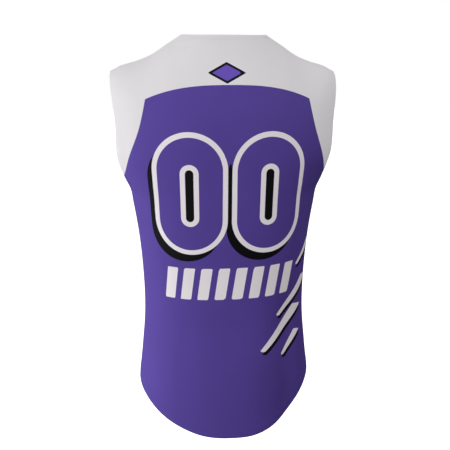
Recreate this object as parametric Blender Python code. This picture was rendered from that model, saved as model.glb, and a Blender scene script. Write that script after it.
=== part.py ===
"""Sleeveless pull-over softball jersey, women's cut, filled out as on a general figure with no wearer.

It is cut as the real one is: a body panel for the back and one for the front, joined down the sides,
and yokes of a lighter colour over the shoulders, each running down as a wing beside the armhole to the
underarm. Every piece is a hollow cloth wall that follows one shared form, so the walls line up at seams.

Metres, +Z up. The jersey's front faces -Y. The origin is on the centre plane, near the height at which
the wearer's shoulders carry it.
"""

import math

import bpy
import numpy as np

for old in list(bpy.data.objects):
    bpy.data.objects.remove(old)

# ---------------------------------------------------------------- driving dimensions

WALL = 0.002  # thickness of the cloth wall
SEAM_GAP = 0.0003  # between two pieces at a seam
TURN = math.pi / 2  # from centre back to the side seam, and from underarm to shoulder line

# The garment's sections from below the hem upwards. Above the underarm the half width is that of the
# armhole edge. A depth is measured from the side seam's plane.
SECTIONS = (
    # name, height, half width, back depth, front depth
    ("below hem", -0.756, 0.170, 0.110, 0.113),
    ("hem", -0.651, 0.167, 0.110, 0.113),
    ("hip", -0.578, 0.164, 0.108, 0.112),
    ("high hip", -0.515, 0.156, 0.104, 0.109),
    ("waist", -0.441, 0.148, 0.098, 0.106),
    ("midriff", -0.357, 0.147, 0.100, 0.113),
    ("ribs", -0.284, 0.151, 0.106, 0.124),
    ("side", -0.233, 0.157, 0.110, 0.130),
    ("below arm", -0.206, 0.161, 0.112, 0.131),
    ("underarm", -0.185, 0.170, 0.113, 0.131),
    ("low armhole", -0.158, 0.175, 0.113, 0.130),
    ("armhole", -0.095, 0.174, 0.112, 0.125),
    ("shoulder tip", -0.019, 0.181, 0.108, 0.116),
    ("neck", 0.063, 0.181, 0.104, 0.112),
)
HEIGHT, HALF_WIDTH, BACK_DEPTH, FRONT_DEPTH = 1, 2, 3, 4

UNDERARM = -0.185
TIP_HALF_WIDTH = 0.181
SECTION_POWER = 2.35  # of the rings, a little squarer than an ellipse

# The shoulder line from the centre plane outwards. Its stretch inside the neck opening is only a guide.
SHOULDER_LINE = (
    # distance from the centre plane, height
    (0.000, 0.056),
    (0.012, 0.056),
    (0.042, 0.0485),
    (0.068, 0.036),
    (0.081, 0.028),
    (0.093, 0.021),
    (0.104, 0.0135),
    (0.117, 0.006),
    (0.137, -0.002),
    (0.164, -0.010),
    (0.181, -0.018),
)

ARMHOLE_REACH = 0.057  # of the armhole edge, before and behind the side seam
ARMHOLE_POWER = 3.0  # how soon above the underarm it gets there
ARMHOLE_FOOT = 0.6  # how round its foot is: 0.5 is a half circle's, 1 is a point
RISE_POWER = 3.0  # how late the sheets turn in towards the shoulder line
CREST_POWER = 2.0  # how round they meet on it

HEM_SIDE = -0.572  # height of the hem at a side seam
HEM_DROP = 0.089  # of the shirt tail, below that, at the centre
HEM_POWER = 1.9

# How unevenly the hem hangs, all round. A turn is in degrees from centre back towards the wearer's left.
HEM_LIFTS = (
    # turn, lift
    (-180, 0.0),
    (-130, 0.0),
    (-90, 0.0020),
    (-75, 0.0070),
    (-60, 0.0130),
    (-45, 0.0105),
    (-30, 0.0040),
    (-12, 0.0010),
    (8, 0.0045),
    (28, 0.0060),
    (45, 0.0025),
    (60, -0.0010),
    (80, -0.0060),
    (95, -0.0060),
    (130, 0.0),
    (180, 0.0),
)

NECK_HALF_WIDTH = 0.068
BACK_NECK = 0.033  # height of the neck edge at centre back
BACK_NECK_POWER = 4.0
FRONT_NECK = -0.092  # height of the V's point
FRONT_NECK_POWER = 1.08

YOKE_CENTRE = -0.0372  # height of the yoke seam at the centre
YOKE_DROP = 0.0206  # from there down to its corners
YOKE_POWER = 2.6
WING_WIDTH = 0.301  # of the wing at the yoke's corner, as a share of the half width
WING_POWER = 0.72
NECK_FOOT = 0.30  # where the yoke seam lies below the neck's side, as a share of the half width
WING_TIP = 0.006  # where the wing starts, as a share of its height above the underarm

BODY_ROWS = 15  # from the hem to the underarm
WING_STEPS = 8  # from there to the yoke's corner
SHOULDER_STEPS = 13  # from the corner towards the centre, and along the shoulder line
NECK_STEPS = {"back": 7, "front": 3}  # from there to the centre
YOKE_ROWS = 6
NUDGE = 1e-4  # step for slopes, in radians
SEAM_DEPTH = 0.110  # the garment's depth at a seam, roughly
SEAM_TURN = SEAM_GAP / 2 / SEAM_DEPTH  # half a seam gap, as a turn

PURPLE = (0.083, 0.047, 0.305, 1.0)
WHITE = (0.76, 0.75, 0.76, 1.0)
CLOTH_ROUGHNESS = 0.75


# ---------------------------------------------------------------- the garment's form


def eased(x, table, key, value):
    """A smooth curve through two columns of a table, read at x."""
    keys = np.array([row[key] for row in table])
    values = np.array([row[value] for row in table])
    spans = np.diff(keys)
    slopes = np.diff(values) / spans
    inner = (slopes[:-1] * spans[1:] + slopes[1:] * spans[:-1]) / (spans[1:] + spans[:-1])
    tangents = np.concatenate([slopes[:1], inner, slopes[-1:]])
    i = np.clip(np.searchsorted(keys, x) - 1, 0, len(spans) - 1)
    t = np.clip((x - keys[i]) / spans[i], 0, 1)
    start = (1 + 2 * t) * (1 - t) ** 2 * values[i] + t * (1 - t) ** 2 * spans[i] * tangents[i]
    end = t * t * (3 - 2 * t) * values[i + 1] - t * t * (1 - t) * spans[i] * tangents[i + 1]
    return start + end


def share_of(theta):
    """Share of the half width at an angle from the centre plane: 0 there, 1 at the side."""
    return np.sign(theta) * np.abs(np.sin(theta)) ** (2 / SECTION_POWER)


def angle_of(share):
    return np.sign(share) * np.arcsin(np.clip(np.abs(share), 0, 1) ** (SECTION_POWER / 2))


def shoulder_height(share):
    return eased(np.abs(share) * TIP_HALF_WIDTH, SHOULDER_LINE, 0, 1)


def rise_of(share, height):
    """Turn up the chest, from 0 at the underarm to a quarter turn on the shoulder line."""
    t = (height - UNDERARM) / (shoulder_height(share) - UNDERARM)
    return np.arcsin(np.clip(t, 0, 1) ** (RISE_POWER / 2))


def height_of(share, rise):
    t = np.abs(np.sin(rise)) ** (2 / RISE_POWER)
    return UNDERARM + t * (shoulder_height(share) - UNDERARM)


def ring_point(theta, height):
    """Below the underarm: closed rings. theta is 0 at centre back and a half turn at centre front."""
    depth = np.where(
        np.cos(theta) > 0,
        eased(height, SECTIONS, HEIGHT, BACK_DEPTH),
        eased(height, SECTIONS, HEIGHT, FRONT_DEPTH),
    )
    across = np.sign(np.sin(theta)) * np.abs(np.sin(theta)) ** (2 / SECTION_POWER)
    along = np.sign(np.cos(theta)) * np.abs(np.cos(theta)) ** (2 / SECTION_POWER)
    x = across * eased(height, SECTIONS, HEIGHT, HALF_WIDTH)
    return np.stack(np.broadcast_arrays(x, along * depth, height), -1)


def chest_point(theta, rise):
    """Above the underarm: two sheets that meet on the shoulder line, where rise is a quarter turn."""
    share = share_of(theta)
    height = height_of(share, rise)
    depth = np.where(
        rise < TURN,
        eased(height, SECTIONS, HEIGHT, BACK_DEPTH),
        eased(height, SECTIONS, HEIGHT, FRONT_DEPTH),
    )
    t = np.abs(np.sin(rise)) ** (2 / RISE_POWER)
    reach = ARMHOLE_REACH * (1 - (1 - t) ** ARMHOLE_POWER) ** ARMHOLE_FOOT
    bulge = (depth**SECTION_POWER * np.cos(theta) ** 2 + reach**SECTION_POWER) ** (1 / SECTION_POWER)
    crest = np.sign(np.cos(rise)) * np.abs(np.cos(rise)) ** (2 / CREST_POWER)
    x = share * eased(height, SECTIONS, HEIGHT, HALF_WIDTH)
    return np.stack(np.broadcast_arrays(x, bulge * crest, height), -1)


def walled(place, first, second, first_limit=math.inf):
    """Points of the form and, at the wall's thickness inside them, those of its inner face."""
    before = np.clip(first - NUDGE, -first_limit, first_limit)
    after = np.clip(first + NUDGE, -first_limit, first_limit)
    along = place(after, second) - place(before, second)
    up = place(first, second + NUDGE) - place(first, second - NUDGE)
    inwards = np.cross(along, up)
    inwards /= np.linalg.norm(inwards, axis=-1, keepdims=True)
    outer = place(first, second)
    return outer, outer + WALL * inwards


# ---------------------------------------------------------------- seams and edges, as functions


def hem_height(turn):
    """Height of the hem; turn is 0 at centre back, and a half turn either way at centre front."""
    lift = eased(np.degrees(turn), HEM_LIFTS, 0, 1)
    return HEM_SIDE - HEM_DROP * np.abs(np.cos(turn)) ** HEM_POWER + lift


def yoke_height(share):
    corner = 1 - WING_WIDTH
    return YOKE_CENTRE - YOKE_DROP * (np.abs(share) / corner) ** YOKE_POWER


def wing_share(climb):
    """Share of the half width at which the wing's seam lies; climb is 1 at the yoke's corner."""
    return 1 - WING_WIDTH * climb**WING_POWER


def neck_height(share, lowest, power):
    neck_share = NECK_HALF_WIDTH / TIP_HALF_WIDTH
    top = shoulder_height(neck_share)
    return lowest + (top - lowest) * (np.abs(share) / neck_share) ** power


def front_corner():
    """Share of the half width at which the V neck crosses the yoke seam."""
    low, high = 0.0, NECK_HALF_WIDTH / TIP_HALF_WIDTH
    while high - low > NUDGE**2:
        middle = (low + high) / 2
        if neck_height(middle, FRONT_NECK, FRONT_NECK_POWER) < yoke_height(middle):
            low = middle
        else:
            high = middle
    return low


# ---------------------------------------------------------------- making a cloth wall


def cloth_wall(name, outer, inner, colour):
    """A closed wall from two grids of points, facing out."""
    rows, columns = outer.shape[:2]
    count = rows * columns
    number = np.arange(count).reshape(rows, columns)
    across = outer[0, 1] - outer[0, 0]
    up = outer[1, 0] - outer[0, 0]
    if np.dot(np.cross(across, up), outer[0, 0] - inner[0, 0]) < 0:
        number = number[:, ::-1]
    faces = []
    for r in range(rows - 1):
        for c in range(columns - 1):
            quad = [number[r, c], number[r, c + 1], number[r + 1, c + 1], number[r + 1, c]]
            faces.append(quad)
            faces.append([v + count for v in reversed(quad)])
    edge = [*number[0], *number[1:, -1], *number[-1, -2::-1], *number[-2:0:-1, 0]]
    for a, b in zip(edge, edge[1:] + edge[:1]):
        faces.append([b, a, a + count, b + count])
    points = np.concatenate([outer.reshape(-1, 3), inner.reshape(-1, 3)])
    mesh = bpy.data.meshes.new(name)
    mesh.from_pydata(points.tolist(), [], [[int(v) for v in face] for face in faces])
    mesh.validate()
    mesh.shade_smooth()
    mesh.set_sharp_from_angle(angle=math.radians(40))
    mesh.materials.append(cloth_material(name, colour))
    obj = bpy.data.objects.new(name, mesh)
    bpy.context.scene.collection.objects.link(obj)
    return obj


def cloth_material(name, colour):
    material = bpy.data.materials.new(name + " knit")
    material.use_nodes = True
    shader = material.node_tree.nodes["Principled BSDF"]
    shader.inputs["Base Color"].default_value = colour
    shader.inputs["Roughness"].default_value = CLOTH_ROUGHNESS
    shader.inputs["Metallic"].default_value = 0.0
    return material


# ---------------------------------------------------------------- the pieces


def seam_stations(front):
    """Where the columns of a panel lie, from 0 at the centre to 1 at the side, with one at the neck's foot."""
    foot_share = front_corner() if front else NECK_FOOT
    foot = angle_of(foot_share) / angle_of(1 - WING_WIDTH)
    neck = np.linspace(0, foot, NECK_STEPS["front" if front else "back"] + 1)
    return np.concatenate([neck, np.linspace(foot, 1, SHOULDER_STEPS + 1)[1:]])


def wing_climbs():
    return np.concatenate([[WING_TIP], np.linspace(0, 1, WING_STEPS + 1)[1:]])


def body_panel(name, front):
    """Purple panel from the hem to the yoke seam, between the side seams and then the wings' seams."""
    half = seam_stations(front)
    across = np.concatenate([-half[:0:-1], half])

    thetas = across * (TURN - SEAM_TURN)
    turns = np.where(thetas < 0, -1, 1) * (math.pi - np.abs(thetas)) if front else thetas
    low = hem_height(turns)
    steps = np.linspace(0, 1, BODY_ROWS + 1)[:, None]
    heights = low + steps * (UNDERARM - low)
    thetas = np.broadcast_to(thetas, heights.shape)
    lower = walled(ring_point, math.pi - thetas if front else thetas, heights)

    climbs = wing_climbs()[:, None]
    thetas = across * (angle_of(wing_share(climbs)) - SEAM_TURN)
    top_share = share_of(thetas[-1])
    top = yoke_height(top_share)
    if front:
        top = np.minimum(top, neck_height(top_share, FRONT_NECK, FRONT_NECK_POWER))
    heights = UNDERARM + climbs * (top - SEAM_GAP / 2 - UNDERARM)
    rises = rise_of(share_of(thetas), heights)
    upper = walled(chest_point, thetas, math.pi - rises if front else rises, TURN)

    outer, inner = (np.concatenate([low_part, high_part]) for low_part, high_part in zip(lower, upper))
    return cloth_wall(name, outer, inner, PURPLE)


def yoke_edges(front):
    """Inner and outer edge of a yoke's left half, station by station: rows of theta and of rise.

    The stations run up the wing, along the shoulder and, on the back, across the neck edge.
    """
    climbs = wing_climbs()
    corner = 1 - WING_WIDTH
    thetas = angle_of(wing_share(climbs)) + SEAM_TURN
    heights = UNDERARM + climbs * (yoke_height(corner) + SEAM_GAP / 2 - UNDERARM)
    outer_shares = np.ones_like(climbs)
    outer_heights = UNDERARM + np.sin(climbs * TURN) * (shoulder_height(1.0) - UNDERARM)

    count = SHOULDER_STEPS if front else None
    seam = seam_stations(front)[-2::-1][:count]
    thetas = np.concatenate([thetas, seam * angle_of(corner)])
    heights = np.concatenate([heights, yoke_height(share_of(seam * angle_of(corner))) + SEAM_GAP / 2])

    neck_share = NECK_HALF_WIDTH / TIP_HALF_WIDTH
    shares = np.linspace(1, neck_share, SHOULDER_STEPS + 1)[1:]
    outer_shares = np.concatenate([outer_shares, shares])
    outer_heights = np.concatenate([outer_heights, shoulder_height(shares)])
    if not front:
        shares = neck_share * np.cos(np.linspace(0, TURN, NECK_STEPS["back"] + 1)[1:])
        outer_shares = np.concatenate([outer_shares, shares])
        outer_heights = np.concatenate([outer_heights, neck_height(shares, BACK_NECK, BACK_NECK_POWER)])
    inner_edge = np.stack([thetas, rise_of(share_of(thetas), heights)])
    outer_rises = np.minimum(rise_of(outer_shares, outer_heights), TURN - SEAM_TURN)
    return inner_edge, np.stack([angle_of(outer_shares), outer_rises])


def drawn_to_neck(rises, edge_shares, steps):
    """Rises of a front yoke's columns, so that the last one lies on the V and the others ease towards it."""
    edge = rise_of(edge_shares, neck_height(edge_shares, FRONT_NECK, FRONT_NECK_POWER))
    off = edge - rises[:, -1:]
    off = off - off[0] - steps * (off[-1] - off[0])
    shoulder = np.linspace(0, 1, SHOULDER_STEPS + 1) ** 2
    pull = np.concatenate([np.zeros(rises.shape[1] - len(shoulder)), shoulder])
    return rises + off * pull


def yoke(name, front, side):
    """White piece over the shoulder. The back one runs from armhole to armhole, so it has both sides."""
    inner_edge, outer_edge = yoke_edges(front)
    if not front:
        turned = np.array([[-1], [1]])
        inner_edge = np.concatenate([inner_edge, (inner_edge * turned)[:, -2::-1]], axis=1)
        outer_edge = np.concatenate([outer_edge, (outer_edge * turned)[:, -2::-1]], axis=1)
    steps = np.linspace(0, 1, YOKE_ROWS + 1)[:, None]
    thetas = side * (inner_edge[0] + steps * (outer_edge[0] - inner_edge[0]))
    rises = inner_edge[1] + steps * (outer_edge[1] - inner_edge[1])
    if front:
        rises = drawn_to_neck(rises, share_of(thetas[:, -1:]), steps)
        rises = math.pi - rises
    outer, inner = walled(chest_point, thetas, rises, TURN)
    return cloth_wall(name, outer, inner, WHITE)


body_panel("back_body", front=False)
body_panel("front_body", front=True)
yoke("back_yoke", front=False, side=1)
yoke("front_yoke_left", front=True, side=1)
yoke("front_yoke_right", front=True, side=-1)
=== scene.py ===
"""Looks of the sleeveless softball jersey: knit shells on the cut pieces' form, print, sewing and studio."""

import math

import bpy
import numpy as np
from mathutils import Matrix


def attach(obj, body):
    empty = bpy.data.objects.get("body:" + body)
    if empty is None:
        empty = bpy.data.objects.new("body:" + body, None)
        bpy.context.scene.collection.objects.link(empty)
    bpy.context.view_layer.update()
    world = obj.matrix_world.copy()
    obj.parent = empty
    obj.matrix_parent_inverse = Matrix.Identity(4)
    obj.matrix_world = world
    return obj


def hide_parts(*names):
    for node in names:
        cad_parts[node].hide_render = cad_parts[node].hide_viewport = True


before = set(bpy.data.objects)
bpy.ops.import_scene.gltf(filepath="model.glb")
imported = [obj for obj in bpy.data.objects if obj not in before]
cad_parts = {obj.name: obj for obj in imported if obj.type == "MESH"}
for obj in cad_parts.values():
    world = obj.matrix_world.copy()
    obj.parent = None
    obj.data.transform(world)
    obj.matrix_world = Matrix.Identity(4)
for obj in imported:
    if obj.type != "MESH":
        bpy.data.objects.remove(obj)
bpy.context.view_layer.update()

# ---------------------------------------------------------------- back body
# One panel of purple polyester interlock knit, from the yoke seam down to the shirt-tail hem, which hangs in
# a few soft folds. The number, blocks and bars are dyed into the face, so nothing of them stands out. Seam
# allowances lie inside, under the yoke and the front, and the hem is turned up once and coverstitched.

TURN = math.pi / 2
UNDERARM = -0.185
SECTIONS = (
    # height, half width, back depth, front depth
    (-0.756, 0.170, 0.110, 0.113),
    (-0.651, 0.167, 0.110, 0.113),
    (-0.578, 0.164, 0.108, 0.112),
    (-0.515, 0.156, 0.104, 0.109),
    (-0.441, 0.148, 0.098, 0.106),
    (-0.357, 0.147, 0.100, 0.113),
    (-0.284, 0.151, 0.106, 0.124),
    (-0.233, 0.157, 0.110, 0.130),
    (-0.206, 0.161, 0.112, 0.131),
    (-0.185, 0.170, 0.113, 0.131),
    (-0.158, 0.175, 0.113, 0.130),
    (-0.095, 0.174, 0.112, 0.125),
    (-0.019, 0.181, 0.108, 0.116),
    (0.063, 0.181, 0.104, 0.112),
)
SHOULDER_LINE = (
    # distance from the centre plane, height
    (0.000, 0.056),
    (0.012, 0.056),
    (0.042, 0.0485),
    (0.068, 0.036),
    (0.081, 0.028),
    (0.093, 0.021),
    (0.104, 0.0135),
    (0.117, 0.006),
    (0.137, -0.002),
    (0.164, -0.010),
    (0.181, -0.018),
)
TIP_HALF_WIDTH = 0.181
RING_POWER = 2.35
CHEST_POWER = 3.0
ARMHOLE_REACH = 0.057
ARMHOLE_POWER = 3.0
ARMHOLE_FOOT = 0.6
HEM_SIDE = -0.572
HEM_DROP = 0.089
HEM_POWER = 1.9
HEM_LIFTS = (
    # degrees from centre back towards the wearer's left, lift
    (-180, 0.0),
    (-130, 0.0),
    (-90, 0.0020),
    (-75, 0.0070),
    (-60, 0.0085),
    (-45, 0.0022),
    (-30, -0.0002),
    (-12, 0.0010),
    (8, 0.0045),
    (28, 0.0060),
    (45, 0.0025),
    (60, -0.0010),
    (80, -0.0060),
    (95, -0.0060),
    (130, 0.0),
    (180, 0.0),
)
YOKE_CENTRE = -0.0372
YOKE_DROP = 0.0206
YOKE_POWER = 2.6
WING_WIDTH = 0.301
WING_POWER = 0.72
NECK_SHARE = 0.068 / TIP_HALF_WIDTH
FRONT_NECK = -0.092
FRONT_NECK_POWER = 1.08

FOLDS = (
    # degrees from centre back towards the wearer's left and height, of both ends, half width in degrees, rise
    (-43.0, -0.400, -40.0, -0.700, 13.0, -0.0058),
    (-15.0, -0.440, -12.0, -0.690, 8.0, 0.0010),
    (26.0, -0.430, 24.0, -0.640, 7.0, -0.0007),
    (48.0, -0.240, 55.0, -0.120, 9.0, 0.0010),
    (-62.0, -0.290, -50.0, -0.160, 8.0, -0.0016),
    (150.0, -0.420, 154.0, -0.690, 8.0, -0.0030),
    (-147.0, -0.400, -150.0, -0.660, 9.0, -0.0026),
    (172.0, -0.430, 170.0, -0.640, 8.0, 0.0009),
    (126.0, -0.300, 138.0, -0.160, 8.0, -0.0016),
)

FOLD_END = 16  # how sharply a fold fades at its ends
CLOTH = 0.0011  # thickness of the knit
TURNED = 0.0021  # and where it is turned up at an edge
TURNED_WIDTH = 0.021
TURNED_RISE = 0.0003  # how far the turned edge stands out of the face
SEWN_SINK = 0.00025  # how deep a row of stitches pulls the face in
FADE = 0.0012  # distance over which both fade into the face
ALLOWANCE = 0.006  # width of a seam allowance, inside
SEAM_BULK = 0.0011  # extra thickness at a seam, inside
SEAM_BULK_WIDTH = 0.002
SEAM = 0.0001  # half the gap at a seam
SEAM_TURN = SEAM / 0.110  # the same as a turn, on a side seam
STEP = 1e-4  # for slopes
FAR = 1.0  # farther than any edge
SHORTEST_ROW = 4  # fewest points of a row of stitches


def along_table(x, table, value):
    """A smooth curve through a table's first column and another, read at x."""
    keys = np.array([row[0] for row in table])
    values = np.array([row[value] for row in table])
    spans = np.diff(keys)
    slopes = np.diff(values) / spans
    inner = (slopes[:-1] * spans[1:] + slopes[1:] * spans[:-1]) / (spans[1:] + spans[:-1])
    tangents = np.concatenate([slopes[:1], inner, slopes[-1:]])
    i = np.clip(np.searchsorted(keys, x) - 1, 0, len(spans) - 1)
    t = np.clip((x - keys[i]) / spans[i], 0, 1)
    start = (1 + 2 * t) * (1 - t) ** 2 * values[i] + t * (1 - t) ** 2 * spans[i] * tangents[i]
    end = t * t * (3 - 2 * t) * values[i + 1] - t * t * (1 - t) * spans[i] * tangents[i + 1]
    return start + end


def share_of(turn):
    """Share of the half width at a turn from the centre plane."""
    return np.sign(turn) * np.abs(np.sin(turn)) ** (2 / RING_POWER)


def turn_at(share):
    return np.sign(share) * np.arcsin(np.clip(np.abs(share), 0, 1) ** (RING_POWER / 2))


def shoulder_height(share):
    return along_table(np.abs(share) * TIP_HALF_WIDTH, SHOULDER_LINE, 1)


def climb_at(share, height):
    """How far up the form a height lies: 0 at the underarm, 1 on the shoulder line, negative on the body."""
    t = (height - UNDERARM) / (shoulder_height(share) - UNDERARM)
    return np.where(t < 0, t / 2, 1 - np.sqrt(1 - np.clip(t, 0, 1)))


def soft_folds(turn, height):
    """How far the cloth stands out of the plain form, or sinks into it, in a few soft folds."""
    degrees = np.degrees(turn)
    rise = np.zeros(np.broadcast(turn, height).shape)
    for turn_a, height_a, turn_b, height_b, half_width, most in FOLDS:
        along = (height - height_a) / (height_b - height_a)
        middle = turn_a + np.clip(along, 0, 1) * (turn_b - turn_a)
        ends = 1 / (1 + np.exp(-FOLD_END * along)) / (1 + np.exp(FOLD_END * (along - 1)))
        rise += most * ends * np.exp(-(((degrees - middle) / half_width) ** 2))
    return rise


def on_form(turn, climb, front):
    """Points of the filled-out jersey. Past a climb of 1 they go down the other side."""
    share = share_of(turn)
    t = np.where(climb < 0, 2 * climb, climb * (2 - climb))
    height = UNDERARM + t * (shoulder_height(share) - UNDERARM)
    t = np.clip(t, 0, 1)
    depth = along_table(height, SECTIONS, 3 if front else 2)
    reach = ARMHOLE_REACH * (1 - (1 - t) ** ARMHOLE_POWER) ** ARMHOLE_FOOT
    bulge = (depth**RING_POWER * np.cos(turn) ** 2 + reach**RING_POWER) ** (1 / RING_POWER)
    side = np.where(climb > 1, -1, 1) * np.where((climb < 0) & (np.abs(turn) > TURN), -1, 1)
    y = bulge * side * np.sqrt(1 - t**CHEST_POWER)
    half_width = along_table(height, SECTIONS, 1)
    x = share * half_width
    round_turn = np.where(turn < 0, -1, 1) * (math.pi - np.abs(turn)) if front else turn
    rise = soft_folds(round_turn, height) / np.hypot(np.sin(turn) / half_width, np.cos(turn) / depth)
    x, y = x + rise * np.sin(turn) / half_width, y + rise * np.cos(turn) / depth
    return np.stack(np.broadcast_arrays(x, -y if front else y, height), -1)


def outwards(turn, climb, front):
    """Slopes along both ways of the form, and the direction that points out of it."""
    limit = np.where(climb > 0, TURN, 2 * TURN)
    before, after = np.clip(turn - STEP, -limit, limit), np.clip(turn + STEP, -limit, limit)
    along = (on_form(after, climb, front) - on_form(before, climb, front)) / (after - before)[..., None]
    up = (on_form(turn, climb + STEP, front) - on_form(turn, climb - STEP, front)) / (2 * STEP)
    out = np.cross(along, up) * (1 if front else -1)
    return along, up, out / np.linalg.norm(out, axis=-1, keepdims=True)


def moved(turn, climb, front, way, distance):
    """Turn and climb a distance away along the form, in a given direction on it."""
    along, up, _ = outwards(turn, climb, front)
    step = way * np.asarray(distance)[..., None]
    aa, uu, au = (along * along).sum(-1), (up * up).sum(-1), (along * up).sum(-1)
    a, u = (along * step).sum(-1), (up * step).sum(-1)
    area = aa * uu - au * au
    turn, climb = turn + (a * uu - u * au) / area, climb + (u * aa - a * au) / area
    limit = np.where(climb > 0, TURN, 2 * TURN)
    return np.clip(turn, -limit, limit), climb


# How an edge goes from the face round to the inside, in four loops of points: how far past the edge each
# one lies, and how deep below the face.
EDGE_LOOPS = 4
EDGES = {
    "turned": ((0.0003, 0.0001), (0.0006, 0.0006), (0.0006, 0.0015), (0.0003, 0.0020)),
    "seam": ((0.00004, 0.0002), (0.00008, 0.0005), (0.00008, 0.0008), (0.00004, 0.0010)),
    "allowance": ((0.00004, 0.0003), (0.00008, 0.00125), (ALLOWANCE, 0.00135), (ALLOWANCE, 0.0021)),
}


def away_from(points, line):
    """Distance of each point from the nearest point of a line."""
    flat = points.reshape(-1, 3)
    nearest = np.full(len(flat), np.inf)
    for some in np.array_split(line, 1 + len(line) // 64):
        gaps = np.linalg.norm(flat[:, None] - some[None], axis=-1)
        nearest = np.minimum(nearest, gaps.min(1))
    return nearest.reshape(points.shape[:-1])


def cut_cloth(name, turns, climbs, front, kinds, faces_with, inside_with, rows_at, print_on=None):
    """A knit panel on the form, from a grid of turns and climbs, with its edges finished and print laid on.
    With it come the rows that its turned edges are sewn along: points, and the directions out of the cloth.

    kinds names the edge's finish at each point of the grid's rim, which goes along the first row, up the
    last column, back along the last row and down the first column.
    """
    rows, columns = turns.shape
    count = rows * columns
    number = np.arange(count).reshape(rows, columns)
    rim = np.concatenate([number[0], number[1:, -1], number[-1, -2::-1], number[-2:0:-1, 0]])
    way = 1 if front else -1
    face = on_form(turns, climbs, front)
    _, _, out = outwards(turns, climbs, front)

    edge = face.reshape(-1, 3)[rim]
    edge_out = out.reshape(-1, 3)[rim]
    tangent = np.roll(edge, -1, 0) - np.roll(edge, 1, 0)
    past = way * np.cross(tangent, edge_out)
    past /= np.maximum(np.linalg.norm(past, axis=-1, keepdims=True), 1e-9)

    kinds = np.array(kinds)
    turned = kinds == "turned"
    folded_in = kinds == "allowance"
    from_edge = away_from(face, edge[turned])
    from_seam = away_from(face, edge[folded_in]) if folded_in.any() else from_edge + FAR
    doubled = 1 / (1 + np.exp((from_edge - TURNED_WIDTH) / FADE))
    relief = TURNED_RISE * doubled
    for row in rows_at:
        relief -= SEWN_SINK * np.exp(-(((from_edge - row) / FADE) ** 2))
    thick = CLOTH + (TURNED - CLOTH) * doubled
    thick = np.maximum(thick, CLOTH + SEAM_BULK * np.exp(-((from_seam / SEAM_BULK_WIDTH) ** 2)))
    inside = face - out * thick[..., None]
    lifted = face + out * relief[..., None]

    rim_turn, rim_climb = turns.reshape(-1)[rim], climbs.reshape(-1)[rim]
    loops = []
    for i in range(EDGE_LOOPS):
        gap = np.array([EDGES[kind][i][0] for kind in kinds])
        depth = np.array([EDGES[kind][i][1] for kind in kinds])
        there = moved(rim_turn, rim_climb, front, past, gap)
        far = on_form(*there, front) - outwards(*there, front)[2] * depth[:, None]
        near = lifted.reshape(-1, 3)[rim] + past * gap[:, None] - edge_out * depth[:, None]
        loops.append(np.where((gap == ALLOWANCE)[:, None], far, near))

    points = np.concatenate([lifted.reshape(-1, 3), inside.reshape(-1, 3), *loops])
    quads, finish = [], []
    for r in range(rows - 1):
        for c in range(columns - 1):
            quad = [number[r, c], number[r, c + 1], number[r + 1, c + 1], number[r + 1, c]]
            quads += [quad[::way], [v + count for v in quad[::-way]]]
            finish += [0, 1]
    ring = len(rim)
    levels = [rim, *[2 * count + i * ring + np.arange(ring) for i in range(EDGE_LOOPS)], rim + count]
    for i, (upper, lower) in enumerate(zip(levels, levels[1:])):
        for k in range(ring):
            n = (k + 1) % ring
            quads.append([upper[n], upper[k], lower[k], lower[n]][::way])
            finish.append(0 if i < 2 else 1)

    mesh = bpy.data.meshes.new(name)
    mesh.from_pydata(points.tolist(), [], [[int(v) for v in quad] for quad in quads])
    mesh.materials.append(faces_with)
    mesh.materials.append(inside_with)
    mesh.polygons.foreach_set("material_index", finish)
    mesh.shade_smooth()

    # A sewn edge is drawn sharp, so that the face stays evenly lit up to the seam.
    sewn_rim = np.zeros(len(points), dtype=bool)
    sewn_rim[rim] = ~turned
    ends = np.zeros(2 * len(mesh.edges), dtype=int)
    mesh.edges.foreach_get("vertices", ends)
    sharp = sewn_rim[ends].reshape(-1, 2).all(1)
    mesh.attributes.new("sharp_edge", "BOOLEAN", "EDGE").data.foreach_set("value", sharp)

    # The cut's own measure, in metres: across from the centre line to the wearer's right, and up. A piece
    # that lies on one side of the centre line is measured down from the shoulder line instead.
    spans = np.linalg.norm(np.diff(face, axis=1), axis=-1)
    walked = np.concatenate([np.zeros((rows, 1)), np.cumsum(spans, 1)], 1)
    if turns[0, 0] * turns[0, -1] < 0:
        across = walked[:, [columns // 2]] - walked
        upwards = face[..., 2]
    else:
        across = -face[..., 0]
        upwards = face[..., 2] + way * face[..., 1]
    cut = np.stack([across, upwards], -1).reshape(-1, 2)
    cut = np.concatenate([cut, cut] + [cut[rim]] * EDGE_LOOPS)
    corners = np.zeros(len(mesh.loops), dtype=int)
    mesh.loops.foreach_get("vertex_index", corners)
    mesh.uv_layers.new(name="cut").data.foreach_set("uv", cut[corners].reshape(-1))
    if print_on:
        for label, field in print_on(cut[:, 0], cut[:, 1]).items():
            distances = mesh.attributes.new(label, "FLOAT", "POINT")
            distances.data.foreach_set("value", field.astype(np.float32))

    rows_sewn = []
    seams = edge[~turned]
    room = away_from(edge, seams)
    for row in rows_at:
        there = moved(rim_turn, rim_climb, front, past, np.full(ring, -row))
        line = on_form(*there, front)
        normals = outwards(*there, front)[2]
        kept = turned & (room > row + FADE) & (away_from(line, seams) > FADE)
        for start in np.flatnonzero(kept & ~np.roll(kept, 1)):
            run = [(start + k) % ring for k in range(ring)]
            run = run[: next(k for k, v in enumerate(run) if not kept[v])]
            if len(run) >= SHORTEST_ROW:
                rows_sewn.append((line[run], normals[run]))
    piece = bpy.data.objects.new(name, mesh)
    bpy.context.scene.collection.objects.link(piece)
    return piece, rows_sewn


def hem_height(turn):
    lift = along_table(np.degrees(turn), HEM_LIFTS, 1)
    return HEM_SIDE - HEM_DROP * np.abs(np.cos(turn)) ** HEM_POWER + lift


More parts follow.
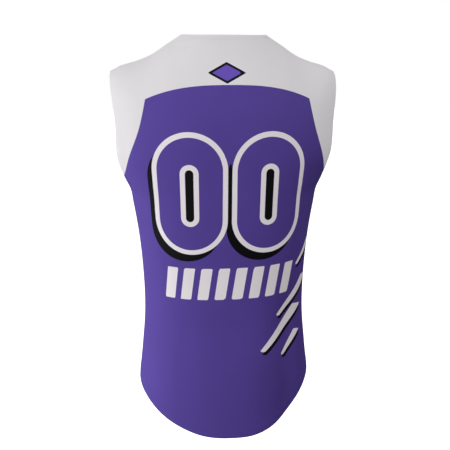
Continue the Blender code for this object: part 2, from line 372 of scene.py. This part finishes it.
def yoke_height(share):
    return YOKE_CENTRE - YOKE_DROP * (np.abs(share) / (1 - WING_WIDTH)) ** YOKE_POWER


def wing_share(up):
    return 1 - WING_WIDTH * up**WING_POWER


def neck_height(share, lowest, power):
    top = shoulder_height(NECK_SHARE)
    return lowest + (top - lowest) * (np.abs(share) / NECK_SHARE) ** power


COLUMNS = 145
HEM_ROW_STEP = 0.0014
HEM_ROWS_TO = 0.0245
LOWER_ROWS = 125
UPPER_ROWS = 46
UPPER_CROWDING = 1.4  # above 1, rows crowd towards the underarm
SQUEEZE_POWER = 6  # how closely the narrowing above the underarm keeps to the outer columns
MOST_SQUEEZE = 0.7  # and how much of a column's width it may take
BESIDE_NECK = 7  # width, in points, of the stretch by the neck edge's ends without an allowance


def body_grid(front):
    """Turns, climbs and edge finishes of a body panel: rows close together by the hem, then even ones."""
    across = np.linspace(-1, 1, COLUMNS)
    turn = across * (TURN - SEAM_TURN)
    round_turn = np.where(turn < 0, -1, 1) * (math.pi - np.abs(turn)) if front else turn
    low = hem_height(round_turn)
    near = np.arange(0, HEM_ROWS_TO, HEM_ROW_STEP)[:, None]
    rest = np.linspace(0, 1, LOWER_ROWS)[1:, None]
    heights = np.concatenate([low + near, low + near[-1] + rest * (UNDERARM - low - near[-1])])
    turns = np.broadcast_to(turn, heights.shape)
    climbs = climb_at(share_of(turns), heights)

    # Above the underarm the panel narrows, most of it in the outer columns.
    up = np.linspace(0, 1, UPPER_ROWS)[1:, None] ** UPPER_CROWDING
    narrowed = 1 - (turn_at(wing_share(up)) - SEAM_TURN) / (TURN - SEAM_TURN)
    power = np.minimum(SQUEEZE_POWER, MOST_SQUEEZE / narrowed)
    high_turns = turn * (1 - narrowed * np.abs(across) ** (power - 1))
    top_share = share_of(high_turns[-1])
    top = yoke_height(top_share)
    neck = neck_height(top_share, FRONT_NECK, FRONT_NECK_POWER)
    opened = (neck < top) if front else np.zeros(len(top), dtype=bool)
    top = np.where(opened, neck, top - SEAM)
    high_climbs = climb_at(share_of(high_turns), UNDERARM + up * (top - UNDERARM))
    turns = np.concatenate([turns, high_turns])
    climbs = np.concatenate([climbs, high_climbs])

    side = ["seam" if front else "allowance"] * (len(heights) - 1) + ["allowance"] * (len(up) - 1)
    beside = np.convolve(opened, np.ones(BESIDE_NECK), "same") > 0
    top_kinds = ["turned" if v else "seam" if b else "allowance" for v, b in zip(opened, beside)]
    top_kinds = ["allowance"] + top_kinds[-2:0:-1] + ["allowance"]
    return turns, climbs, ["turned"] * COLUMNS + side + top_kinds + side[::-1]


# The print. Its measures are on the cut: across from the centre line towards the wearer's right, and up.
NUMBER_CENTRES = (-0.0622, 0.0622)
NUMBER_HEIGHT = -0.2015
NUMBER_HALF_WIDTH = 0.0590
NUMBER_HALF_HEIGHT = 0.0985
NUMBER_OUTLINE = 0.0080
COUNTER_HALF_WIDTH = 0.0065
COUNTER_HALF_HEIGHT = 0.0420
NUMBER_SHADE = (-0.0085, -0.0125)
BLOCKS = 8
BLOCK_PITCH = 0.0289
BLOCK_HALF_WIDTH = 0.0092
BLOCK_HALF_HEIGHT = 0.0290
BLOCK_HEIGHT = -0.3540
BLOCK_LEAN = 0.14
BLOCKS_CENTRE = 0.0032
BAR_SLOPE = math.radians(41)
BAR_SHADE = (0.0035, -0.0065)
BAR_TAPER = 0.45
BAR_END_SLANT = 0.8
BARS = (
    # across and up of the middle, half length, half width
    (0.1500, -0.3160, 0.0300, 0.0050),
    (0.1270, -0.3950, 0.0480, 0.0068),
    (0.1020, -0.4520, 0.0560, 0.0080),
    (0.1290, -0.4860, 0.0300, 0.0058),
)


def dyed_print(across, up):
    """Signed distances from the white print and from the black one, negative inside them."""

    def bar(middle, height, half_length, half_width):
        x, y = across - middle, up - height
        along = x * math.cos(BAR_SLOPE) + y * math.sin(BAR_SLOPE)
        aside = y * math.cos(BAR_SLOPE) - x * math.sin(BAR_SLOPE)
        taper = half_width * (1 - BAR_TAPER * np.clip(-along / half_length, -1, 1))
        return np.maximum(np.abs(aside) - taper, np.abs(along + aside * BAR_END_SLANT) - half_length)

    def rounded(x, y, half_width, half_height):
        reach = np.maximum(np.abs(y) - (half_height - half_width), 0)
        return np.hypot(x, reach) - half_width

    white = np.full(across.shape, FAR)
    black = np.full(across.shape, FAR)
    for row in BARS:
        white = np.minimum(white, bar(*row))
        black = np.minimum(black, bar(row[0] + BAR_SHADE[0], row[1] + BAR_SHADE[1], *row[2:]))
    for i in range(BLOCKS):
        y = up - BLOCK_HEIGHT
        x = across - BLOCKS_CENTRE - (i - (BLOCKS - 1) / 2) * BLOCK_PITCH - BLOCK_LEAN * y
        block = np.maximum(np.abs(x) - BLOCK_HALF_WIDTH, np.abs(y) - BLOCK_HALF_HEIGHT)
        white = np.minimum(white, block)
    for centre in NUMBER_CENTRES:
        x, y = across - centre, up - NUMBER_HEIGHT
        outer = rounded(x, y, NUMBER_HALF_WIDTH, NUMBER_HALF_HEIGHT)
        counter = rounded(x, y, COUNTER_HALF_WIDTH, COUNTER_HALF_HEIGHT)
        stroke = np.maximum(outer, -counter)
        low_x, low_y = x - NUMBER_SHADE[0], y - NUMBER_SHADE[1]
        shade = rounded(low_x, low_y, NUMBER_HALF_WIDTH, NUMBER_HALF_HEIGHT)
        band = np.abs(stroke + NUMBER_OUTLINE / 2) - NUMBER_OUTLINE / 2
        black = np.maximum(np.minimum(black, np.minimum(shade, counter)), -stroke)
        white = np.minimum(np.maximum(white, -outer), band)
    return {"white_print": white, "black_print": black}


def colour(code):
    """Linear colour of an sRGB hex value."""
    parts = [int(code[i : i + 2], 16) / 255 for i in (0, 2, 4)]
    return (*[v / 12.92 if v <= 0.04045 else ((v + 0.055) / 1.055) ** 2.4 for v in parts], 1.0)


def add(tree, kind, inputs=(), **settings):
    """A node with its settings, and its inputs as values or links."""
    node = tree.nodes.new(kind)
    for key, value in settings.items():
        setattr(node, key, value)
    for key, value in inputs:
        if isinstance(value, bpy.types.NodeSocket):
            tree.links.new(value, node.inputs[key])
        else:
            node.inputs[key].default_value = value
    return node


WALE = 0.0016  # a real interlock has a wale each 0.8 mm, and twice that is the finest that shows
COURSE = 0.0013
LOOP_SLANT = 0.9  # how steeply the two legs of a loop rise
LOOP_HEIGHT = 0.0003
LOOP_BUMP = 0.35
LOOP_PAINTED_SHADES = (0.93, 1.04)  # painted shade in the hollows between the loops and painted highlight on their crowns
DYE_PATCHES = 9.0  # in a metre
DYE_SHADES = (0.965, 1.035)
PRINT_EDGE = 0.0002  # distance over which ink fades into the knit, to each side
KNIT_SPECULAR = 0.12  # matt yarn that scatters what a smooth face would mirror
KNIT_SHEEN_ROUGHNESS = 0.5


def interlock_knit(name, code, roughness, sheen, print_inks=(), glow=0.0, glows_in=None):
    """Polyester interlock knit, with a smooth, close face: fine upright wales of small V-shaped loops, with
    painted shade in the hollows between them and a painted highlight on their crowns, a matt body with a soft
    sheen, and dye that takes a little unevenly.

    print_inks are pairs of attribute and ink, in the order in which they are printed. Either the whole face
    or the ink of the attribute glows_in is given painted light: it glows a little, by glow, so that it looks
    lighter.
    """
    material = bpy.data.materials.new(name)
    material.use_nodes = True
    tree = material.node_tree
    shader = tree.nodes["Principled BSDF"]
    cut = add(tree, "ShaderNodeUVMap", uv_map="cut")
    parted = add(tree, "ShaderNodeSeparateXYZ", [(0, cut.outputs["UV"])])

    # Loops: a saw across each wale pushes the courses' wave up towards its middle, which draws the V.
    wale = add(tree, "ShaderNodeMath", [(0, parted.outputs["X"]), (1, WALE / 2)], operation="PINGPONG")
    tilt = add(
        tree,
        "ShaderNodeMath",
        [(0, wale.outputs[0]), (1, LOOP_SLANT), (2, parted.outputs["Y"])],
        operation="MULTIPLY_ADD",
    )
    course = add(tree, "ShaderNodeMath", [(0, tilt.outputs[0]), (1, COURSE / 2)], operation="PINGPONG")
    crown = add(tree, "ShaderNodeMath", [(0, wale.outputs[0]), (1, course.outputs[0])], operation="ADD")
    height = add(
        tree,
        "ShaderNodeMath",
        [(0, crown.outputs[0]), (1, 1 / (WALE + COURSE))],
        operation="MULTIPLY",
    )

    dye = add(
        tree,
        "ShaderNodeTexNoise",
        [("Vector", cut.outputs["UV"]), ("Scale", DYE_PATCHES), ("Detail", 3.0)],
    )
    shift = add(
        tree,
        "ShaderNodeMapRange",
        [
            ("Value", dye.outputs["Fac"]),
            ("From Min", 0.3),
            ("From Max", 0.7),
            ("To Min", DYE_SHADES[0]),
            ("To Max", DYE_SHADES[1]),
        ],
    )
    base = add(tree, "ShaderNodeRGB")
    base.outputs[0].default_value = colour(code)
    tint = base.outputs[0]
    for attribute, ink in print_inks:
        field = add(tree, "ShaderNodeAttribute", attribute_name=attribute, attribute_type="GEOMETRY")
        inside = add(
            tree,
            "ShaderNodeMapRange",
            [("Value", field.outputs["Fac"]), ("From Min", PRINT_EDGE), ("From Max", -PRINT_EDGE)],
        )
        tint = add(
            tree,
            "ShaderNodeMix",
            [("Factor", inside.outputs[0]), ("A", tint), ("B", colour(ink))],
            data_type="RGBA",
        ).outputs["Result"]
        # The ink that glows_in names is given painted light: it glows a little.
        if attribute == glows_in:
            painted_glow = add(
                tree,
                "ShaderNodeMix",
                [("Factor", inside.outputs[0]), ("A", (0.0, 0.0, 0.0, 1.0)), ("B", colour(ink))],
                data_type="RGBA",
            ).outputs["Result"]
    # Painted shade in the hollows between the loops and a painted highlight on their crowns, scaled into the
    # colour.
    loops = add(
        tree,
        "ShaderNodeMapRange",
        [
            ("Value", height.outputs[0]),
            ("From Max", 0.5),
            ("To Min", LOOP_PAINTED_SHADES[0]),
            ("To Max", LOOP_PAINTED_SHADES[1]),
        ],
    )
    dye_and_painted_shade = add(tree, "ShaderNodeMath", [(0, shift.outputs[0]), (1, loops.outputs[0])], operation="MULTIPLY")
    shaded = add(
        tree,
        "ShaderNodeVectorMath",
        [(0, tint), ("Scale", dye_and_painted_shade.outputs[0])],
        operation="SCALE",
    )
    bump = add(
        tree,
        "ShaderNodeBump",
        [("Height", height.outputs[0]), ("Strength", LOOP_BUMP), ("Distance", LOOP_HEIGHT)],
    )
    tree.links.new(shaded.outputs[0], shader.inputs["Base Color"])
    tree.links.new(bump.outputs[0], shader.inputs["Normal"])
    shader.inputs["Roughness"].default_value = roughness
    shader.inputs["Specular IOR Level"].default_value = KNIT_SPECULAR
    shader.inputs["Sheen Weight"].default_value = sheen
    shader.inputs["Sheen Roughness"].default_value = KNIT_SHEEN_ROUGHNESS
    # Painted light: the face, or the ink that glows_in names, glows a little so that it looks lighter.
    if glow:
        tree.links.new(painted_glow if glows_in else tint, shader.inputs["Emission Color"])
        shader.inputs["Emission Strength"].default_value = glow
    return material


PURPLE = "5E4AA5"
PURPLE_INSIDE = "6E5CAF"
INK_WHITE = "E9E2E7"
INK_PAINTED_GLOW = 0.175  # painted light: the white ink glows a little, so that it looks lighter
INK_BLACK = "0B0A0E"
purple_print = interlock_knit(
    "printed_interlock_purple",
    PURPLE,
    roughness=0.7,
    sheen=0.02,
    print_inks=(("black_print", INK_BLACK), ("white_print", INK_WHITE)),
    glow=INK_PAINTED_GLOW,
    glows_in="white_print",
)
purple_inside = interlock_knit("interlock_purple_inside", PURPLE_INSIDE, roughness=0.8, sheen=0.05)
HEM_ROWS = (0.0145, 0.0190)  # distances from the edge at which the two needles sew
STITCH_PITCH = 0.0038
STITCH_SIZE = (0.0031, 0.0008, 0.0006)
STITCH_LIFT = 0.0001
STITCH_SIDES = 6
STITCH_RINGS = 4
TWISTS = 620.0  # bands of twist in a metre, coarser than the real thread's so that they show
TWIST_WAVER = 1.5
TWIST_PAINTED_SHADE = 0.72  # painted shade in the hollows between the plies
TWIST_BUMP = 0.4
TWIST_DEPTH = 0.0001


def sewing_thread(name, code):
    """Spun polyester thread, dyed to match the knit, and twisted into slanting bands, with painted shade in
    the hollows between the plies.
    """
    material = bpy.data.materials.new(name)
    material.use_nodes = True
    tree = material.node_tree
    shader = tree.nodes["Principled BSDF"]
    place = add(tree, "ShaderNodeTexCoord")
    twist = add(
        tree,
        "ShaderNodeTexWave",
        [("Vector", place.outputs["Object"]), ("Scale", TWISTS), ("Distortion", TWIST_WAVER)],
        wave_type="BANDS",
        bands_direction="DIAGONAL",
    )
    light = colour(code)
    # Painted shade for the hollows between the plies.
    ply_painted_shade = [TWIST_PAINTED_SHADE * v for v in light[:3]] + [1.0]
    tint = add(
        tree,
        "ShaderNodeMix",
        [("Factor", twist.outputs["Fac"]), ("A", ply_painted_shade), ("B", light)],
        data_type="RGBA",
    )
    bump = add(
        tree,
        "ShaderNodeBump",
        [("Height", twist.outputs["Fac"]), ("Strength", TWIST_BUMP), ("Distance", TWIST_DEPTH)],
    )
    tree.links.new(tint.outputs["Result"], shader.inputs["Base Color"])
    tree.links.new(bump.outputs[0], shader.inputs["Normal"])
    shader.inputs["Roughness"].default_value = 0.5
    shader.inputs["Specular IOR Level"].default_value = 0.3
    shader.inputs["Sheen Weight"].default_value = 0.1
    return material


def stitching_tree():
    """Geometry Nodes that lay one stitch at each pitch along a row, flat on the cloth."""
    tree = bpy.data.node_groups.new("stitches_along_rows", "GeometryNodeTree")
    for label, kind in (
        ("Rows", "NodeSocketGeometry"),
        ("Pitch", "NodeSocketFloat"),
        ("Stitch size", "NodeSocketVector"),
        ("Thread", "NodeSocketMaterial"),
    ):
        tree.interface.new_socket(label, in_out="INPUT", socket_type=kind)
    tree.interface.new_socket("Stitches", in_out="OUTPUT", socket_type="NodeSocketGeometry")
    given = add(tree, "NodeGroupInput")
    rows = add(tree, "GeometryNodeMeshToCurve", [("Mesh", given.outputs["Rows"])])
    places = add(
        tree,
        "GeometryNodeCurveToPoints",
        [("Curve", rows.outputs["Curve"]), ("Length", given.outputs["Pitch"])],
        mode="LENGTH",
    )
    out_of_cloth = add(
        tree,
        "GeometryNodeInputNamedAttribute",
        [("Name", "out_of_cloth")],
        data_type="FLOAT_VECTOR",
    )
    lengthwise = add(
        tree,
        "FunctionNodeAlignRotationToVector",
        [("Vector", places.outputs["Tangent"])],
        axis="X",
    )
    flat = add(
        tree,
        "FunctionNodeAlignRotationToVector",
        [("Rotation", lengthwise.outputs[0]), ("Vector", out_of_cloth.outputs["Attribute"])],
        axis="Z",
        pivot_axis="X",
    )
    stitch = add(
        tree,
        "GeometryNodeMeshUVSphere",
        [("Segments", STITCH_SIDES), ("Rings", STITCH_RINGS), ("Radius", 0.5)],
    )
    turned = add(
        tree,
        "GeometryNodeTransform",
        [("Geometry", stitch.outputs["Mesh"]), ("Rotation", (0.0, TURN, 0.0))],
    )
    laid = add(
        tree,
        "GeometryNodeInstanceOnPoints",
        [
            ("Points", places.outputs["Points"]),
            ("Instance", turned.outputs["Geometry"]),
            ("Rotation", flat.outputs[0]),
            ("Scale", given.outputs["Stitch size"]),
        ],
    )
    made = add(tree, "GeometryNodeRealizeInstances", [("Geometry", laid.outputs["Instances"])])
    smooth = add(tree, "GeometryNodeSetShadeSmooth", [(0, made.outputs["Geometry"])])
    finished = add(
        tree,
        "GeometryNodeSetMaterial",
        [("Geometry", smooth.outputs[0]), ("Material", given.outputs["Thread"])],
    )
    add(tree, "NodeGroupOutput", [("Stitches", finished.outputs["Geometry"])])
    return tree


stitches_along_rows = stitching_tree()


def sew(name, rows, thread):
    """Sews the rows of a piece's turned edges, and returns the stitches as a plain mesh on the same body."""
    points, edges, normals = [], [], []
    for line, out in rows:
        first = len(points)
        points += (line + out * STITCH_LIFT).tolist()
        normals += out.tolist()
        edges += [(first + i, first + i + 1) for i in range(len(line) - 1)]
    path = bpy.data.meshes.new(name + "_rows")
    path.from_pydata(points, edges, [])
    path.attributes.new("out_of_cloth", "FLOAT_VECTOR", "POINT").data.foreach_set(
        "vector", np.array(normals, dtype=np.float32).reshape(-1)
    )
    guide = bpy.data.objects.new(name + "_rows", path)
    bpy.context.scene.collection.objects.link(guide)
    needle = guide.modifiers.new("needle", "NODES")
    needle.node_group = stitches_along_rows
    asked = {"Pitch": STITCH_PITCH, "Stitch size": STITCH_SIZE, "Thread": thread}
    for socket in stitches_along_rows.interface.items_tree:
        if socket.in_out == "INPUT" and socket.name in asked:
            needle[socket.identifier] = asked[socket.name]
    bpy.context.view_layer.update()
    made = bpy.data.meshes.new_from_object(guide.evaluated_get(bpy.context.evaluated_depsgraph_get()))
    guide.modifiers.clear()
    bpy.data.objects.remove(guide)
    made.name = name
    stitches = bpy.data.objects.new(name, made)
    bpy.context.scene.collection.objects.link(stitches)
    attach(stitches, "root")
    return stitches


turns, climbs, kinds = body_grid(front=False)
back_body, rows = cut_cloth(
    "back_body_knit", turns, climbs, False, kinds, purple_print, purple_inside, HEM_ROWS, dyed_print
)
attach(back_body, "root")
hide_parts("back_body")
purple_thread = sewing_thread("spun_polyester_thread_purple", PURPLE)
back_hem = sew("back_hem_stitching", rows, purple_thread)

# ---------------------------------------------------------------- front body
# The same purple knit, cut with the V neck's point at its top. The photograph hides it, so it is plain. Its
# side edges are sewn over the back's allowances, and its neck edge is turned in with the yokes'.

purple_knit = interlock_knit("interlock_purple", PURPLE, roughness=0.7, sheen=0.02)
turns, climbs, kinds = body_grid(front=True)
front_body, rows = cut_cloth(
    "front_body_knit", turns, climbs, True, kinds, purple_knit, purple_inside, HEM_ROWS
)
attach(front_body, "root")
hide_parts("front_body")
front_hem = sew("front_hem_and_neck_stitching", rows, purple_thread)

# ---------------------------------------------------------------- back yoke
# White knit in one piece over both shoulder blades, with a wing down beside each armhole. A small lozenge is
# dyed in below the neck. Neck and armhole edges are turned in and sewn down with two needles.

BACK_NECK = 0.033
BACK_NECK_POWER = 4.0
LOZENGE_CENTRE = (-0.0035, -0.0205)
LOZENGE_HALF = (0.0285, 0.0150)
LOZENGE_EDGE = 0.0032
EDGE_ROWS = (0.0060, 0.0095)
WING_COLUMNS = 58
SHOULDER_COLUMNS = 40
NECK_COLUMNS = 26
NECK_FROM = 0.30  # share of the half width at which columns of the back yoke start to end on the neck
WING_FOOT = 0.004  # lowest column of a wing, as a share of its height
EDGE_ROW_STEP = 0.0012
EDGE_ROWS_TO = 0.0135
FULL_WIDTH = 0.034  # where a wing is narrower than this, its rows by the sewn edge crowd together
YOKE_ROWS = 35
CLIMB_LENGTH = 0.05  # length on the form of a climb of 1, by the shoulder line


def front_corner():
    """Share of the half width at which the V neck crosses the yoke seam."""
    shares = np.linspace(0, NECK_SHARE, 20001)  # fine enough to hit the crossing
    crossed = neck_height(shares, FRONT_NECK, FRONT_NECK_POWER) >= yoke_height(shares)
    return shares[crossed][0]


def yoke_grid(front, side):
    """Turns, climbs and edge finishes of a yoke; side is 1 for the wearer's left, -1 for the right."""
    up = np.linspace(WING_FOOT, 1, WING_COLUMNS)
    corner = 1 - WING_WIDTH
    inner_turns = turn_at(wing_share(up)) + SEAM_TURN
    inner_heights = UNDERARM + up * (yoke_height(corner) + SEAM - UNDERARM)
    outer_shares = np.ones_like(up)
    outer_heights = UNDERARM + np.sin(up * TURN) * (shoulder_height(1.0) - UNDERARM)
    kinds = ["turned"] * WING_COLUMNS

    last = turn_at(front_corner()) if front else turn_at(NECK_FROM)
    seam = np.linspace(turn_at(corner), last, SHOULDER_COLUMNS + 1)[1:]
    shares = np.linspace(1, NECK_SHARE, SHOULDER_COLUMNS + 1)[1:]
    kinds += ["seam" if front else "allowance"] * (SHOULDER_COLUMNS - 1) + ["turned"]
    outer_shares = np.concatenate([outer_shares, shares])
    outer_heights = np.concatenate([outer_heights, shoulder_height(shares)])
    if not front:
        seam = np.concatenate([seam, np.linspace(last, 0, NECK_COLUMNS + 1)[1:]])
        shares = NECK_SHARE * np.cos(np.linspace(0, TURN, NECK_COLUMNS + 1)[1:])
        outer_shares = np.concatenate([outer_shares, shares])
        outer_heights = np.concatenate([outer_heights, neck_height(shares, BACK_NECK, BACK_NECK_POWER)])
        kinds += ["turned"] * NECK_COLUMNS
    inner_turns = np.concatenate([inner_turns, seam])
    inner_heights = np.concatenate([inner_heights, yoke_height(share_of(seam)) + SEAM])
    inner_climbs = climb_at(share_of(inner_turns), inner_heights)
    outer_climbs = np.minimum(climb_at(outer_shares, outer_heights), 1 - SEAM / CLIMB_LENGTH)
    outer_turns = turn_at(outer_shares)
    if not front:
        inner_turns = np.concatenate([inner_turns, -inner_turns[-2::-1]])
        outer_turns = np.concatenate([outer_turns, -outer_turns[-2::-1]])
        inner_climbs = np.concatenate([inner_climbs, inner_climbs[-2::-1]])
        outer_climbs = np.concatenate([outer_climbs, outer_climbs[-2::-1]])
        kinds = kinds + kinds[-2::-1]

    # Rows lie close together by the sewn edge, and evenly from there to the seam.
    ends = on_form(inner_turns, inner_climbs, front) - on_form(outer_turns, outer_climbs, front)
    width = np.linalg.norm(ends, axis=-1)
    near = np.arange(0, EDGE_ROWS_TO, EDGE_ROW_STEP)[:, None] * np.minimum(1, width / FULL_WIDTH) / width
    far = near[-1] + np.linspace(0, 1, YOKE_ROWS)[1:, None] * (1 - near[-1])
    share = 1 - np.concatenate([near, far])[::-1]
    turns = inner_turns + share * (outer_turns - inner_turns)
    climbs = inner_climbs + share * (outer_climbs - inner_climbs)
    ends_kinds = ["seam"] * (len(share) - 2)

    if front:
        # The last column is drawn onto the V's edge.
        edge_shares = share_of(turns[:, -1])
        neck = climb_at(edge_shares, neck_height(edge_shares, FRONT_NECK, FRONT_NECK_POWER))
        off = neck - climbs[:, -1]
        off -= off[0] + (off[-1] - off[0]) * share[:, -1]
        pull = np.concatenate([np.zeros(WING_COLUMNS - 1), np.linspace(0, 1, SHOULDER_COLUMNS + 1) ** 2])
        climbs = climbs + off[:, None] * pull
    bottom = ["seam"] * turns.shape[1]
    if side > 0:
        # Turned round, so that turns rise along a row.
        turns, climbs, kinds = turns[:, ::-1], climbs[:, ::-1], kinds[::-1]
        right, left = ends_kinds, ["turned"] * (len(share) - 2) if front else ends_kinds
    else:
        turns = -turns
        right, left = ["turned"] * (len(share) - 2), ends_kinds
    return turns, climbs, bottom + right + kinds[::-1] + left


def dyed_lozenge(across, up):
    """Signed distances from the small lozenge's ground and from its dark border."""
    x, y = across - LOZENGE_CENTRE[0], up - LOZENGE_CENTRE[1]
    half_width, half_height = LOZENGE_HALF
    depth = half_width * half_height / math.hypot(half_width, half_height)
    whole = (np.abs(x) / half_width + np.abs(y) / half_height - 1) * depth
    return {"lozenge": whole, "lozenge_ground": whole + LOZENGE_EDGE}


WHITE = "CCC9CC"
WHITE_PAINTED_GLOW = 0.375  # painted light: the white knit glows a little, so that its shaded side looks less dark
WHITE_THREAD = "EFEDF0"
white_print = interlock_knit(
    "printed_interlock_white",
    WHITE,
    roughness=0.7,
    sheen=0.05,
    print_inks=(("lozenge", INK_BLACK), ("lozenge_ground", PURPLE)),
    glow=WHITE_PAINTED_GLOW,
)
white_knit = interlock_knit("interlock_white", WHITE, roughness=0.7, sheen=0.05, glow=WHITE_PAINTED_GLOW)

turns, climbs, kinds = yoke_grid(front=False, side=1)
back_yoke, rows = cut_cloth(
    "back_yoke_knit", turns, climbs, False, kinds, white_print, white_knit, EDGE_ROWS, dyed_lozenge
)
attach(back_yoke, "root")
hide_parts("back_yoke")
white_thread = sewing_thread("spun_polyester_thread_white", WHITE_THREAD)
back_edges = sew("back_yoke_stitching", rows, white_thread)

# ---------------------------------------------------------------- front yokes
# Two mirrored pieces of the white knit, from the shoulder line to the front yoke seam, each with its wing.
# The photograph hides them, so they follow the back's cut and are plain. The V neck's upper part is theirs.

for label, side in (("left", 1), ("right", -1)):
    turns, climbs, kinds = yoke_grid(front=True, side=side)
    yoke, rows = cut_cloth(
        f"front_yoke_{label}_knit", turns, climbs, True, kinds, white_knit, white_knit, EDGE_ROWS
    )
    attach(yoke, "root")
    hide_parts(f"front_yoke_{label}")
    edges = sew(f"front_yoke_{label}_stitching", rows, white_thread)

# ---------------------------------------------------------------- studio
# Plain white ground, soft light mostly from the wearer's left behind the back, and the photograph's near
# camera, a little above the shoulders.

CAMERA_AIM = (-0.0025, 0.0, -0.2835)
CAMERA_DISTANCE = 0.8715
CAMERA_AZIMUTH = math.radians(174.7)
CAMERA_ELEVATION = math.radians(18)
CAMERA_VIEW = math.radians(50)
CAMERA_NEAREST = 0.01
FLOOR_HEIGHT = -1.0
FLOOR_HALF = 12.0
PAPER = "EDEDED"
PAPER_GLOW = 1.0

lens = bpy.data.cameras.new("camera")
lens.sensor_fit = "HORIZONTAL"
lens.angle = CAMERA_VIEW
lens.clip_start = CAMERA_NEAREST
camera = bpy.data.objects.new("camera", lens)
back = (
    math.sin(CAMERA_AZIMUTH) * math.cos(CAMERA_ELEVATION),
    -math.cos(CAMERA_AZIMUTH) * math.cos(CAMERA_ELEVATION),
    math.sin(CAMERA_ELEVATION),
)
camera.location = [a + CAMERA_DISTANCE * b for a, b in zip(CAMERA_AIM, back)]
camera.rotation_euler = (TURN - CAMERA_ELEVATION, 0.0, CAMERA_AZIMUTH)
bpy.context.scene.collection.objects.link(camera)
bpy.context.scene.camera = camera

floor_mesh = bpy.data.meshes.new("floor")
floor_mesh.from_pydata(
    [(x * FLOOR_HALF, y * FLOOR_HALF, FLOOR_HEIGHT) for x, y in ((-1, -1), (1, -1), (1, 1), (-1, 1))],
    [],
    [(0, 1, 2, 3)],
)
# Uncoated white paper sheet, quite matt, lit so that it goes up to plain white.
paper = bpy.data.materials.new("white_studio_paper")
paper.use_nodes = True
paper_shader = paper.node_tree.nodes["Principled BSDF"]
paper_shader.inputs["Base Color"].default_value = colour(PAPER)
paper_shader.inputs["Roughness"].default_value = 1.0
paper_shader.inputs["Specular IOR Level"].default_value = 0.0
paper_shader.inputs["Emission Color"].default_value = colour("FFFFFF")
paper_shader.inputs["Emission Strength"].default_value = PAPER_GLOW
floor_mesh.materials.append(paper)
floor = bpy.data.objects.new("floor", floor_mesh)
floor.visible_diffuse = False
floor.visible_glossy = False
bpy.context.scene.collection.objects.link(floor)

CEILING = 0.42  # brightness of the diffuse ceiling
HORIZON = 0.05  # over which it fades out, to each side
SOFTBOXES = (
    # name, degrees from the back's middle towards the wearer's left, distance, height, width, length, watts,
    # height that it is aimed at
    ("softbox_behind_left", 53, 1.5, -0.2835, 0.5, 2.1, 13.0, -0.2835),
    ("softbox_left", 105, 1.5, -0.2835, 0.5, 2.1, 7.5, -0.2835),
    ("softbox_low_left", 75, 1.3, -0.8, 0.5, 0.6, 3.2, -0.5),
    ("softbox_high_right", -35, 1.2, 0.45, 0.5, 0.5, 3.6, -0.12),
)
for label, side_turn, distance, stand, width, length, watts, aim in SOFTBOXES:
    lamp = bpy.data.lights.new(label, "AREA")
    lamp.shape = "RECTANGLE"
    lamp.size = width
    lamp.size_y = length
    lamp.energy = watts
    box = bpy.data.objects.new(label, lamp)
    side_turn = math.radians(side_turn)
    box.location = (distance * math.sin(side_turn), distance * math.cos(side_turn), stand)
    box.rotation_euler = (TURN - math.atan2(stand - aim, distance), 0.0, math.pi - side_turn)
    box.visible_camera = False
    bpy.context.scene.collection.objects.link(box)
world = bpy.data.worlds.new("studio")
world.use_nodes = True
tree = world.node_tree
background = tree.nodes["Background"]
direction = add(tree, "ShaderNodeTexCoord")
parted = add(tree, "ShaderNodeSeparateXYZ", [(0, direction.outputs["Generated"])])
softly = add(
    tree,
    "ShaderNodeMapRange",
    [("Value", parted.outputs["Z"]), ("From Min", -HORIZON), ("From Max", HORIZON), ("To Max", CEILING)],
    interpolation_type="SMOOTHSTEP",
)
ray = add(tree, "ShaderNodeLightPath")
seen = add(
    tree,
    "ShaderNodeMix",
    [("Factor", ray.outputs["Is Camera Ray"]), ("A", softly.outputs[0]), ("B", 1.0)],
    data_type="FLOAT",
)
tree.links.new(seen.outputs["Result"], background.inputs["Strength"])
background.inputs["Color"].default_value = (1.0, 1.0, 1.0, 1.0)
bpy.context.scene.world = world
bpy.context.scene.view_settings.view_transform = "Standard"
